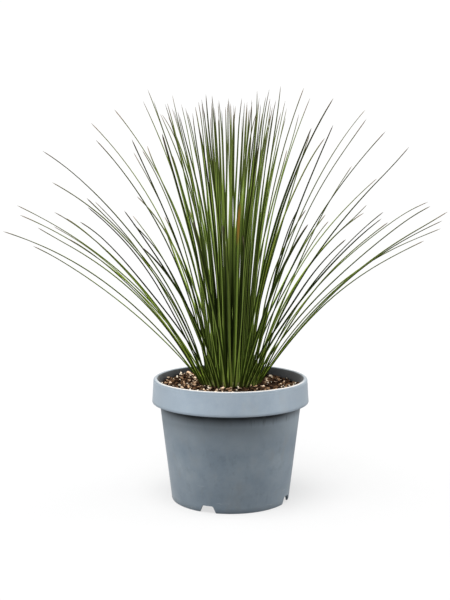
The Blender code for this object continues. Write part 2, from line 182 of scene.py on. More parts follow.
class Leaf:
    """A leaf's middle line, as in the construction."""

    def __init__(self, way, base, b, c, width, roll):
        self.way, self.a, self.b, self.c, self.width, self.roll = way, base, b, c, width, roll

    def at(self, s):
        return self.a * (1 - s) ** 2 + self.b * (2 * s * (1 - s)) + self.c * s**2

    def along(self, s):
        return ((self.b - self.a) * (1 - s) + (self.c - self.b) * s).normalized()

    def wide(self, s):
        return self.width * max(1.0 - s, 0.0) ** 0.50

    def points(self, count=44):
        return np.array([self.at(s) for s in np.linspace(0, 1, count)])

    def widths(self, count=44):
        return np.array([self.wide(s) for s in np.linspace(0, 1, count)])


def clear_of(leaf, others):
    p, w = leaf.points(), leaf.widths()
    for n, (q, v) in enumerate(others):
        run = q[1:] - q[:-1]
        d = p[:, None, :] - q[None, :-1, :]
        t = np.clip((d * run).sum(axis=2) / (run * run).sum(axis=1), 0.0, 1.0)
        apart = np.linalg.norm(d - t[:, :, None] * run, axis=2)
        if (apart < 0.5 * (w[:, None] + v[None, :-1]) + 0.0009).any():
            # the next try is tested against this leaf first
            others.insert(0, others.pop(n))
            return False
    return True


def on_leaf_plane(way, square):
    ahead = Vector((0, math.cos(EYE_DOWN), -math.sin(EYE_DOWN)))
    up = Vector((0, math.sin(EYE_DOWN), math.cos(EYE_DOWN)))
    sight = ahead + Vector((1, 0, 0)) * ((square[0] - 225) / EYE_SCALE) + up * ((300 - square[1]) / EYE_SCALE)
    normal = Vector((-math.sin(way), math.cos(way), 0))
    return EYE + sight * (-normal.dot(EYE) / normal.dot(sight))


def read_leaf(ring, degrees, swing, tip, middle, width, roll):
    way, lies = math.radians(degrees), math.radians(degrees + swing)
    base = dome_point(RING[ring], way, GAP + PAD_H)
    c, m = on_leaf_plane(lies, tip), on_leaf_plane(lies, middle)
    t = (m - base).length
    t /= t + (c - m).length
    b = (m - base * (1 - t) ** 2 - c * t**2) / (2 * t * (1 - t))
    # no leaf sets out towards the plant's middle
    out = Vector((math.cos(way), math.sin(way), 0))
    b += out * max(0.0, 0.035 * (b - base).z - (b - base).dot(out))
    return Leaf(way, base, b, c, width, roll)


def habit_leaf(ring, degrees, rng, wander, stray):
    lean0, lean1, long_ = HABIT[ring]
    wander *= 1 + 0.5 * stray
    lean0, lean1 = (lean0[0] - 0.4 * stray, lean0[1] + 0.4 * stray), (lean1[0] - stray, lean1[1] + stray)
    way = math.radians(degrees)
    base = dome_point(RING[ring], way, GAP + PAD_H)
    a0 = math.radians(rng.uniform(*lean0))
    a1 = math.radians(rng.uniform(*lean1))
    way0 = way + math.radians(rng.uniform(-1, 1) * wander)
    way1 = way0 + math.radians(rng.uniform(-1, 1) * wander)
    length = rng.uniform(*long_)
    b = base + Vector((math.sin(a0) * math.cos(way0), math.sin(a0) * math.sin(way0), math.cos(a0))) * (0.5 * length)
    c = b + Vector((math.sin(a1) * math.cos(way1), math.sin(a1) * math.sin(way1), math.cos(a1))) * (0.5 * length)
    return Leaf(way, base, b, c, LEAF_W * rng.uniform(0.86, 1.06), rng.uniform(-30, 30))


def place_leaves():
    """Every leaf, in the construction's order, as (node name, ring, [leaves])."""
    rng = np.random.default_rng(41)
    placed, groups = [], []

    def settle(make):
        for attempt in range(600):
            leaf = make(attempt / 40)
            if clear_of(leaf, placed):
                break
        placed.append((leaf.points(), leaf.widths()))
        return leaf

    def settle_line(ring, degrees, tip, middle):
        width, roll = LEAF_W * rng.uniform(0.88, 1.04), rng.uniform(-30, 30)

        def nudged(square, k):
            return tuple(v + 0.4 * min(k, 8) * rng.uniform(-1, 1) for v in square)

        return settle(
            lambda k: read_leaf(
                ring, degrees, min(k, 6) * rng.uniform(-2, 2), nudged(tip, k), nudged(middle, k), width, roll
            )
        )

    count = {name: 0 for name in ("left_leaf", "left_pair", "right_leaf", "right_pair", "front", "back")}
    for ring, lines in SIDE_LEAVES:
        leaves = [settle_line(ring, *line) for line in lines]
        kind = ("left" if 90 < lines[0][0] < 270 else "right") + ("_pair" if len(lines) > 1 else "_leaf")
        count[kind] += 1
        groups.append((f"{kind}_{count[kind]:02d}", ring, leaves))
    for side, ring, middle, number, step in TUFTS:
        leaves = [
            settle(lambda k: habit_leaf(ring, middle + step * (i - 0.5 * (number - 1)), rng, 4.0, k))
            for i in range(number)
        ]
        count[side] += 1
        groups.append((f"{side}_leaves_{count[side]}", ring, leaves))
    for ring, sizes, first in WHORLS:
        step = 360.0 / sum(sizes)
        at = 0
        for g, size in enumerate(sizes):
            leaves = []
            for n in range(at, at + size):
                if (ring, n) in INNER_LINES:
                    leaves.append(settle_line(ring, first + step * n, *INNER_LINES[ring, n]))
                else:
                    leaves.append(settle(lambda k: habit_leaf(ring, first + step * n, rng, 8.0, k)))
            at += size
            groups.append((f"inner_leaves_{ring}{g + 1}", ring, leaves))
    heart = [settle(lambda k: habit_leaf("b", 360.0 / HEART_LEAVES * i, rng, 12.0, k)) for i in range(HEART_LEAVES)]
    base = dome_point(0.0, 0.0, GAP + PAD_H)
    spear = Leaf(0.0, base, base + Vector((0.001, 0.001, 0.205)), base + Vector((-0.004, 0.003, 0.412)), LEAF_W, 0.0)
    groups.append(("heart_leaves", "b", heart + [spear]))
    return groups


# ---- material helpers -------------------------------------------------------------------
class Nodes:
    """Short ways to build a node tree."""

    def __init__(self, name):
        self.mat = bpy.data.materials.new(name)
        self.mat.use_nodes = True
        self.tree = self.mat.node_tree
        self.shader = self.tree.nodes["Principled BSDF"]

    def new(self, kind, **values):
        node = self.tree.nodes.new(kind)
        for key, value in values.items():
            setattr(node, key, value)
        return node

    def link(self, a, b):
        self.tree.links.new(a, b)

    def put(self, socket, value):
        if hasattr(value, "is_output"):
            self.link(value, socket)
        else:
            socket.default_value = value

    def attribute(self, name, output="Fac"):
        return self.new("ShaderNodeAttribute", attribute_name=name).outputs[output]

    def noise(self, vector, scale, detail=3.0, rough=0.55, out="Fac"):
        node = self.new("ShaderNodeTexNoise")
        self.put(node.inputs["Vector"], vector)
        node.inputs["Scale"].default_value = scale
        node.inputs["Detail"].default_value = detail
        node.inputs["Roughness"].default_value = rough
        return node.outputs[out]

    def voronoi(self, vector, scale, feature="F1", out="Distance"):
        node = self.new("ShaderNodeTexVoronoi", feature=feature)
        self.put(node.inputs["Vector"], vector)
        node.inputs["Scale"].default_value = scale
        return node.outputs[out]

    def ramp(self, value, stops, mode="LINEAR"):
        node = self.new("ShaderNodeValToRGB")
        ramp = node.color_ramp
        ramp.interpolation = mode
        while len(ramp.elements) < len(stops):
            ramp.elements.new(0.5)
        for element, (at, colour) in zip(ramp.elements, stops):
            element.position = at
            element.color = (*colour, 1.0) if len(colour) == 3 else colour
        self.put(node.inputs["Fac"], value)
        return node.outputs["Color"]

    def mix(self, factor, a, b, blend="MIX"):
        node = self.new("ShaderNodeMix", data_type="RGBA", blend_type=blend)
        self.put(node.inputs[0], factor)
        for socket, value in ((node.inputs[6], a), (node.inputs[7], b)):
            self.put(socket, (*value, 1.0) if isinstance(value, tuple) and len(value) == 3 else value)
        return node.outputs[2]

    def math(self, op, a, b=0.0, clamp=False):
        node = self.new("ShaderNodeMath", operation=op, use_clamp=clamp)
        self.put(node.inputs[0], a)
        self.put(node.inputs[1], b)
        return node.outputs[0]

    def span(self, value, lo, hi, to_lo=0.0, to_hi=1.0, smooth=True):
        node = self.new("ShaderNodeMapRange", interpolation_type="SMOOTHSTEP" if smooth else "LINEAR")
        self.put(node.inputs["Value"], value)
        for name, v in (("From Min", lo), ("From Max", hi), ("To Min", to_lo), ("To Max", to_hi)):
            node.inputs[name].default_value = v
        return node.outputs["Result"]

    def scaled(self, vector, scale):
        node = self.new("ShaderNodeMapping")
        self.put(node.inputs["Vector"], vector)
        node.inputs["Scale"].default_value = scale
        return node.outputs["Vector"]

    def bump(self, height, strength, distance, normal=None):
        node = self.new("ShaderNodeBump")
        node.inputs["Strength"].default_value = strength
        node.inputs["Distance"].default_value = distance
        self.put(node.inputs["Height"], height)
        if normal is not None:
            self.link(normal, node.inputs["Normal"])
        return node.outputs["Normal"]

    def done(self, colour, roughness, normal=None, specular=0.5):
        self.put(self.shader.inputs["Base Color"], colour)
        self.put(self.shader.inputs["Roughness"], roughness)
        self.shader.inputs["Specular IOR Level"].default_value = specular
        if normal is not None:
            self.link(normal, self.shader.inputs["Normal"])
        return self.mat


# ---- materials -----------------------------------------------------------------------
def leaf_material(name, fresh):
    """Leaf green, with more fresh green in it the younger the leaves are."""
    n = Nodes(name)
    along = n.attribute("along")  # 0 at the base, 1 at the tip
    tone = n.attribute("tone")  # one value a leaf
    dry = n.attribute("dry")  # how far a leaf has dried back, one value a leaf
    ridge = n.attribute("ridge")  # 1 on the four ridges, 0 in the grooves
    shade_side = n.attribute("shade_side")  # 1 along the leaf's quarter that gets painted shade, -1 along the one opposite that gets a painted highlight
    heart_shade = n.attribute("heart_shade")  # 1 low in the heart of the plant, 0 outside: how much painted shade a leaf gets there
    around = n.attribute("around", "Vector")  # place round the section and along the leaf, in mm
    fibre = n.noise(n.scaled(around, (1.3, 1.3, 0.03)), 1.0, 4.0, 0.6)
    patch = n.noise(n.scaled(around, (0.12, 0.12, 0.016)), 1.0, 2.0)
    green = n.ramp(
        fibre,
        [(0.28, (0.030, 0.052, 0.002)), (0.45, (0.088, 0.136, 0.010)), (0.60, (0.196, 0.274, 0.029)), (0.78, (0.310, 0.398, 0.058))],
    )
    warm = n.ramp(
        fibre,
        [(0.28, (0.060, 0.072, 0.004)), (0.50, (0.178, 0.208, 0.023)), (0.78, (0.340, 0.372, 0.070))],
    )
    colour = n.mix(n.span(tone, 0.25, 1.0, 0.0, 0.75), green, warm)
    colour = n.mix(n.span(patch, 0.42, 0.72, 0.0, 0.30), colour, (0.034, 0.064, 0.006))
    colour = n.mix(n.math("MULTIPLY", ridge, 0.22), colour, (0.270, 0.330, 0.080))
    # painted light: a brighter green low on the leaves, to lift the shade there, more of it on the young leaves
    colour = n.mix(n.span(along, 0.50, 0.12, 0.0, 0.16 + 0.34 * fresh), colour, (0.285, 0.380, 0.062))
    colour = n.mix(0.46 * fresh, colour, (0.235, 0.345, 0.075))
    # painted light: a painted highlight along the ridge of one side, painted shade on the other side, and painted
    # shade on all that grows low in the heart
    colour = n.mix(n.span(shade_side, -0.50, -1.05, 0.0, 0.50), colour, (0.400, 0.485, 0.130))
    colour = n.mix(n.span(shade_side, -0.10, 0.55, 0.0, 0.92), colour, (0.008, 0.016, 0.001))
    # painted shade low in the heart of the plant
    colour = n.mix(n.math("MULTIPLY", heart_shade, 0.92), colour, (0.003, 0.006, 0.0005))
    # older, browner green towards the end
    colour = n.mix(n.span(along, 0.50 + 0.10 * fresh, 0.95, 0.0, 0.78 - 0.12 * fresh), colour, (0.050, 0.050, 0.016))
    # the youngest tissue, at the very foot, is pale
    colour = n.mix(n.span(along, 0.0, 0.030, 0.22, 0.0), colour, (0.15, 0.16, 0.045))
    # dry streaks half way up some leaves
    streak = n.noise(n.scaled(around, (0.5, 0.5, 0.012)), 1.0, 3.0, 0.7)
    part_way = n.math("MULTIPLY", n.span(along, 0.48, 0.56), n.span(along, 0.66, 0.60))
    streak = n.math("ADD", streak, n.span(dry, 1.0, 1.2, 0.0, 0.10))
    dried = n.math("MULTIPLY", n.span(dry, 0.86, 1.1, 0.0, 1.0), n.span(streak, 0.46, 0.62))
    dried = n.math("MULTIPLY", dried, part_way)
    colour = n.mix(n.math("MULTIPLY", dried, 0.85), colour, (0.380, 0.170, 0.035))
    # grey-brown, drawn-out tip, a little pink
    rag = n.noise(n.scaled(around, (0.6, 0.6, 0.05)), 1.0, 3.0)
    reach = n.math("ADD", along, n.math("MULTIPLY", n.math("SUBTRACT", rag, 0.5), 0.06))
    reach = n.math("ADD", reach, n.math("MULTIPLY", dry, 0.03))
    tip = n.span(reach, 0.940, 1.000)
    tip_colour = n.ramp(fibre, [(0.3, (0.070, 0.054, 0.034)), (0.7, (0.205, 0.158, 0.115))])
    colour = n.mix(tip, colour, tip_colour)
    rough = n.math("ADD", n.span(fibre, 0.3, 0.7, 0.44, 0.58), n.math("MULTIPLY", tip, 0.25))
    normal = n.bump(fibre, 0.55, 0.0004)
    return n.done(colour, rough, normal, 0.05)


def plastic_material():
    n = Nodes("grey_blue_plastic")
    where = n.new("ShaderNodeTexCoord").outputs["Object"]
    parts = n.new("ShaderNodeSeparateXYZ")
    n.link(where, parts.inputs[0])
    side, front, height = parts.outputs["X"], parts.outputs["Y"], parts.outputs["Z"]
    radius = n.math("SQRT", n.math("ADD", n.math("MULTIPLY", side, side), n.math("MULTIPLY", front, front)))
    cloud = n.noise(where, 26.0, 4.0, 0.62)
    blotch = n.noise(n.scaled(where, (1.0, 1.0, 0.8)), 75.0, 4.0, 0.65)
    tint = n.noise(n.scaled(where, (1.0, 1.0, 0.7)), 38.0, 3.0, 0.55)
    fine = n.noise(where, 900.0, 2.0, 0.5)
    colour = n.ramp(cloud, [(0.30, (0.154, 0.196, 0.238)), (0.52, (0.185, 0.228, 0.267)), (0.75, (0.222, 0.263, 0.296))])
    colour = n.mix(n.span(blotch, 0.50, 0.70, 0.0, 0.34), colour, (0.205, 0.232, 0.252))
    colour = n.mix(n.span(blotch, 0.48, 0.28, 0.0, 0.34), colour, (0.116, 0.146, 0.172))
    colour = n.mix(n.span(tint, 0.54, 0.70, 0.0, 0.35), colour, (0.180, 0.196, 0.204))
    # painted light: paler a hand's breadth under the collar, to lift the collar's shadow there
    colour = n.mix(n.span(height, 0.085, 0.130, 0.0, 0.66), colour, (0.240, 0.282, 0.318))
    # painted shade: darker towards the foot
    colour = n.mix(n.span(height, 0.070, 0.020, 0.0, 0.34), colour, (0.118, 0.148, 0.180))
    # dust drawn down the wall, and rubbed marks near the foot
    drawn = n.noise(n.scaled(where, (170.0, 170.0, 7.0)), 1.0, 3.0, 0.6)
    colour = n.mix(n.span(drawn, 0.52, 0.80, 0.0, 0.20), colour, (0.25, 0.27, 0.28))
    rub = n.noise(n.scaled(where, (26.0, 26.0, 260.0)), 1.0, 4.0, 0.75)
    low = n.span(height, 0.085, 0.015)
    colour = n.mix(n.math("MULTIPLY", n.span(rub, 0.62, 0.70), n.math("MULTIPLY", low, 0.45)), colour, (0.33, 0.35, 0.36))
    # painted shadow under the collar: thickest just under it and towards the front and back; then dirt in runs down
    # the wall
    facing = n.span(n.math("ABSOLUTE", front), 0.015, 0.095, 0.45, 1.0)
    patchy = n.span(n.noise(n.scaled(where, (16.0, 16.0, 16.0)), 1.0, 2.0), 0.35, 0.60, 0.86, 1.0)
    collar_shadow_fade = n.math("POWER", n.span(height, 0.1330, 0.1458, smooth=False), 1.25)
    under = n.span(height, 0.1512, 0.1504, smooth=False)
    collar_shadow = n.math("MULTIPLY", n.math("MULTIPLY", collar_shadow_fade, under), n.math("MULTIPLY", facing, patchy))
    colour = n.mix(n.math("MULTIPLY", collar_shadow, 0.97), colour, (0.004, 0.005, 0.006))
    runs = n.noise(n.scaled(where, (240.0, 240.0, 9.0)), 1.0, 3.0, 0.6)
    runs = n.math("MULTIPLY", n.span(runs, 0.50, 0.66), n.span(height, 0.1280, 0.1420))
    runs = n.math("MULTIPLY", n.math("MULTIPLY", runs, under), n.span(side, 0.000, 0.045, 0.25, 1.0))
    colour = n.mix(n.math("MULTIPLY", runs, 0.45), colour, (0.045, 0.055, 0.060))
    # the collar is paler: partly bleached in the sun, partly painted light where its face tips up towards the overhead
    # light
    bleached_lit_collar = n.ramp(cloud, [(0.30, (0.254, 0.309, 0.364)), (0.52, (0.279, 0.334, 0.390)), (0.75, (0.308, 0.361, 0.412))])
    bleached_lit_collar = n.mix(n.span(blotch, 0.50, 0.70, 0.0, 0.32), bleached_lit_collar, (0.328, 0.366, 0.402))
    bleached_lit_collar = n.mix(n.span(blotch, 0.48, 0.28, 0.0, 0.28), bleached_lit_collar, (0.226, 0.276, 0.326))
    bleached_lit_collar = n.mix(n.span(tint, 0.54, 0.70, 0.0, 0.30), bleached_lit_collar, (0.300, 0.326, 0.342))
    # painted shade: darker towards the collar's left and right ends
    bleached_lit_collar = n.mix(n.span(n.math("ABSOLUTE", side), 0.060, 0.112, 0.0, 0.74), bleached_lit_collar, (0.178, 0.219, 0.258))
    collar = n.span(height, 0.1502, 0.1512)
    colour = n.mix(collar, colour, bleached_lit_collar)
    # painted shade: the lip is darker, to hold down the light on its upward face
    colour = n.mix(n.span(height, 0.1834, 0.1856, 0.0, 0.80), colour, (0.120, 0.146, 0.168))
    # a painted highlight along the lip's crest, warm white at the front, grey-blue elsewhere
    crest = n.math("MULTIPLY", n.span(height, 0.1864, 0.1871), n.span(radius, 0.1172, 0.1158))
    crest = n.math("MULTIPLY", crest, n.span(fine, 0.30, 0.60, 0.65, 0.95))
    crest_highlight = n.mix(n.span(front, -0.020, -0.075), (0.250, 0.275, 0.295), (0.450, 0.420, 0.392))
    colour = n.mix(crest, colour, crest_highlight)
    # painted shade on the wall inside the lip
    inside = n.math("MULTIPLY", n.span(radius, 0.1128, 0.1114), n.span(height, 0.1520, 0.1560))
    inner_wall_shade = n.ramp(cloud, [(0.30, (0.004, 0.005, 0.006)), (0.70, (0.012, 0.014, 0.015))])
    colour = n.mix(inside, colour, inner_wall_shade)
    colour = n.mix(n.span(fine, 0.55, 0.75, 0.0, 0.10), colour, (0.12, 0.15, 0.18))
    rough = n.span(cloud, 0.3, 0.7, 0.50, 0.62)
    normal = n.bump(fine, 0.20, 0.0002)
    normal = n.bump(blotch, 0.10, 0.0006, normal)
    n.shader.inputs["Sheen Weight"].default_value = 0.16
    n.shader.inputs["Sheen Roughness"].default_value = 0.45
    return n.done(colour, rough, normal, 0.15)


def chip_material(name, dark, middle, light, grain, rough_low=0.75):
    n = Nodes(name)
    where = n.new("ShaderNodeTexCoord").outputs["Object"]
    tone = n.attribute("tone")
    fibre = n.noise(n.scaled(where, (1.0, 1.0, 1.6)), grain, 4.0, 0.65)
    pick = n.math("ADD", n.math("MULTIPLY", fibre, 0.55), n.math("MULTIPLY", tone, 0.50))
    colour = n.ramp(pick, [(0.28, dark), (0.55, middle), (0.82, light)])
    normal = n.bump(fibre, 0.6, 0.0008)
    return n.done(colour, n.span(fibre, 0.3, 0.7, rough_low, 0.95), normal, 0.04)


def mix_material():
    n = Nodes("bark_fines")
    where = n.new("ShaderNodeTexCoord").outputs["Object"]
    clump = n.noise(where, 260.0, 5.0, 0.7)
    crumb = n.voronoi(where, 520.0)
    colour = n.ramp(clump, [(0.30, (0.006, 0.004, 0.002)), (0.50, (0.020, 0.011, 0.006)), (0.68, (0.050, 0.029, 0.016)), (0.82, (0.120, 0.076, 0.042))])
    colour = n.mix(n.span(crumb, 0.32, 0.10, 0.0, 0.30), colour, (0.095, 0.060, 0.036))
    normal = n.bump(clump, 0.9, 0.0012)
    normal = n.bump(crumb, 0.5, 0.0006, normal)
    return n.done(colour, 0.92, normal, 0.02)


def crown_material():
    n = Nodes("old_leaf_bases")
    where = n.new("ShaderNodeTexCoord").outputs["Object"]
    strand = n.noise(n.scaled(where, (420.0, 420.0, 60.0)), 1.0, 4.0, 0.65)
    patch = n.noise(where, 90.0, 3.0)
    colour = n.ramp(strand, [(0.30, (0.016, 0.014, 0.005)), (0.52, (0.050, 0.046, 0.016)), (0.75, (0.130, 0.118, 0.050))])
    colour = n.mix(n.span(patch, 0.45, 0.65), colour, (0.040, 0.058, 0.012))
    normal = n.bump(strand, 0.7, 0.0008)
    return n.done(colour, n.span(strand, 0.3, 0.7, 0.55, 0.8), normal, 0.08)


# ---- geometry helpers ------------------------------------------------------------------
def finish_object(name, mesh, mat, replaces, sharp=None):
    mesh.materials.clear()
    mesh.materials.append(mat)
    mesh.shade_smooth()
    if sharp is not None:
        mesh.set_sharp_from_angle(angle=math.radians(sharp))
    obj = bpy.data.objects.new(name, mesh)
    bpy.context.scene.collection.objects.link(obj)
    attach(obj, "root")
    if replaces:
        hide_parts(*replaces)
    return obj


def leaf_stations():
    """Closer together at the flared base and in the drawn-out tip."""
    body = [0.5 - 0.5 * math.cos(math.pi * t) for t in np.linspace(0, 1, 34)]
    return [0.55 * a + 0.45 * t for a, t in zip(body, np.linspace(0, 1, 34))]


STATIONS = leaf_stations()
CORNERS = 8


def leaf_rings(leaf, rng, outer):
    """Rings of points from inside the crown to the tip, with each ring's place along the leaf."""
    wave = rng.uniform(0, 2 * math.pi, 4)
    sway = rng.uniform(0.0004, 0.0016)
    hook = rng.uniform(-1, 1, 2) * rng.uniform(0.0, 0.0060)
    twist = math.radians(rng.uniform(-35, 35))
    roll0 = math.radians(leaf.roll)
    flat = rng.uniform(0.56, 0.74)
    rings = []
    for s in [-0.020, -0.008] + STATIONS:
        inside = min(max(s, 0.0), 1.0)
        along = leaf.along(inside)
        across = Vector((-math.sin(leaf.way), math.cos(leaf.way), 0))
        across = (across - along * across.dot(along)).normalized()
        inward = along.cross(across)
        middle = leaf.at(inside)
        if s < 0:
            middle = middle + along * (s * 0.42)
        grow = math.sin(math.pi * inside) + inside
        middle = middle + across * (sway * grow * math.sin(7.0 * inside + wave[0]) - sway * 0.6 * grow * math.sin(wave[0]))
        middle = middle + inward * (0.7 * sway * grow * math.sin(5.0 * inside + wave[1]))
        end = max(0.0, (inside - 0.86) / 0.14) ** 2
        middle = middle + (across * hook[0] + inward * hook[1]) * end
        wide = leaf.width * (0.86 + 0.32 * (1 - abs(math.cos(leaf.way))) ** 2 if outer else 1.15) * max(1.0 - inside, 0.0) ** (0.20 if outer else 0.37)
        wide *= 1 + 0.08 * math.sin(9 * inside + wave[2]) * inside
        flare = math.exp(-((max(s, 0.0) / 0.030) ** 2))
        half = 0.5 * max(wide * (1 + 0.45 * flare), 0.00060 if inside < 0.999 else 0.00020)
        thick = half * (flat + 0.10 * flare)
        if inside > 0.9:
            thick = half * (flat + (0.95 - flat) * (inside - 0.9) / 0.1)
        turn = roll0 * min(inside / 0.25, 1.0) + twist * inside
        corners = []
        for k in range(CORNERS):
            a = 2 * math.pi * k / CORNERS
            x, y = half * math.cos(a), thick * math.sin(a)
            if k % 2:
                # between two ridges the face is hollowed a little
                x = half * math.cos(a) / math.cos(math.pi / 4) * 0.5 * 0.90
                y = thick * math.sin(a) / math.sin(math.pi / 4) * 0.5 * 0.90
            if flare > 0.05 and y < 0:
                y *= 1 - 0.35 * flare
            x, y = x * math.cos(turn) - y * math.sin(turn), x * math.sin(turn) + y * math.cos(turn)
            corners.append(middle + across * x + inward * y)
        rings.append((s, half, corners))
    return rings


def leaf_piece(name, ring, leaves, mat, number):
    rng = np.random.default_rng(900 + number)
    verts, faces, spots = [], [], []
    along, tone, dry, ridge, shade_side, heart_shade, around = [], [], [], [], [], [], []
    # how much painted shade each ring gets low in the heart
    heart = {"e": 0.22, "d": 0.92, "c": 1.0, "b": 1.0}.get(ring, 0.0)
    n = len(leaves)
    for i, leaf in enumerate(leaves):
        own_tone = float(rng.beta(1.2, 1.8))
        own_dry = float(rng.uniform(0, 1)) ** 1.4 * (0.80 if ring in "fg" else 1.0)
        if name == "inner_leaves_e4" and i == 5:
            own_dry = 1.2  # the one leaf with a short dried stretch
        shift = float(rng.uniform(0, 400))
        # the painted shade lies on the lower side of a side leaf, and beside the middle of a front or back one
        shade_at = math.radians((315 if math.cos(leaf.way) < 0 else 225) + rng.uniform(-18, 18))
        if math.sin(leaf.way) > 0.5:
            shade_at = -shade_at
        # and the painted shade is narrower there and in the heart
        lean = math.cos(leaf.way)
        narrow = 0.42 if ring not in "fg" else 0.36 * (1 - abs(lean)) ** 0.5 - max(0.46 * lean, -0.26 * lean)
        rings = leaf_rings(leaf, rng, ring in "fg")
        first = len(verts)
        length = (leaf.c - leaf.b).length + (leaf.b - leaf.a).length
        for s, half, corners in rings:
            for k, corner in enumerate(corners):
                a = 2 * math.pi * k / CORNERS
                verts.append(corner)
                along.append(s)
                tone.append(own_tone)
                dry.append(own_dry)
                ridge.append(0.0 if k % 2 else 1.0)
                shade_side.append(math.cos(a - shade_at) - narrow)
                heart_shade.append(heart * min(max((0.60 - s) / 0.30, 0.0), 1.0))
                around.append((2.2 * math.cos(a) + shift, 2.2 * math.sin(a) + 3 * shift, s * length * 1000.0))
        last = len(rings) - 1

        def spot(r, k):
            s = (rings[r][0] + 0.02) / 1.02
            return ((i + 0.08 + 0.84 * k / CORNERS) / n, 0.012 + 0.97 * s)

        for r in range(last):
            for k in range(CORNERS):
                j = (k + 1) % CORNERS
                faces.append((first + r * CORNERS + k, first + r * CORNERS + j, first + (r + 1) * CORNERS + j, first + (r + 1) * CORNERS + k))
                spots.append((spot(r, k), spot(r, k + 1), spot(r + 1, k + 1), spot(r + 1, k)))
        faces.append(tuple(first + k for k in reversed(range(CORNERS))))
        spots.append(tuple((((i + 0.5) / n) + 0.02 * math.cos(math.pi * k / 4) / n, 0.006 + 0.004 * math.sin(math.pi * k / 4)) for k in reversed(range(CORNERS))))
        faces.append(tuple(first + last * CORNERS + k for k in range(CORNERS)))
        spots.append(tuple((((i + 0.5) / n) + 0.02 * math.cos(math.pi * k / 4) / n, 0.991 + 0.004 * math.sin(math.pi * k / 4)) for k in range(CORNERS)))
    mesh = bpy.data.meshes.new(name)
    mesh.from_pydata(verts, [], faces)
    for title, values in (("along", along), ("tone", tone), ("dry", dry), ("ridge", ridge), ("shade_side", shade_side), ("heart_shade", heart_shade)):
        mesh.attributes.new(title, "FLOAT", "POINT").data.foreach_set("value", values)
    mesh.attributes.new("around", "FLOAT_VECTOR", "POINT").data.foreach_set("vector", np.array(around, np.float32).ravel())
    layer = mesh.uv_layers.new(name="OFBake")
    flat = np.array([uv for face in spots for uv in face], np.float32)
    layer.uv.foreach_set("vector", flat.ravel())
    mesh.update()
    return finish_object(name + "_look", mesh, mat, [name], 50)


# ---- pot -------------------------------------------------------------------------------
def arc(cx, cz, r, start, end, steps):
    """Points on a quarter-like arc in the profile plane, by angle in degrees."""
    return [
        (cx + r * math.cos(math.radians(a)), cz + r * math.sin(math.radians(a)))
        for a in np.linspace(start, end, steps)
    ]


def straight(a, b, steps):
    return [(a[0] + (b[0] - a[0]) * t, a[1] + (b[1] - a[1]) * t) for t in np.linspace(0, 1, steps)[1:-1]]


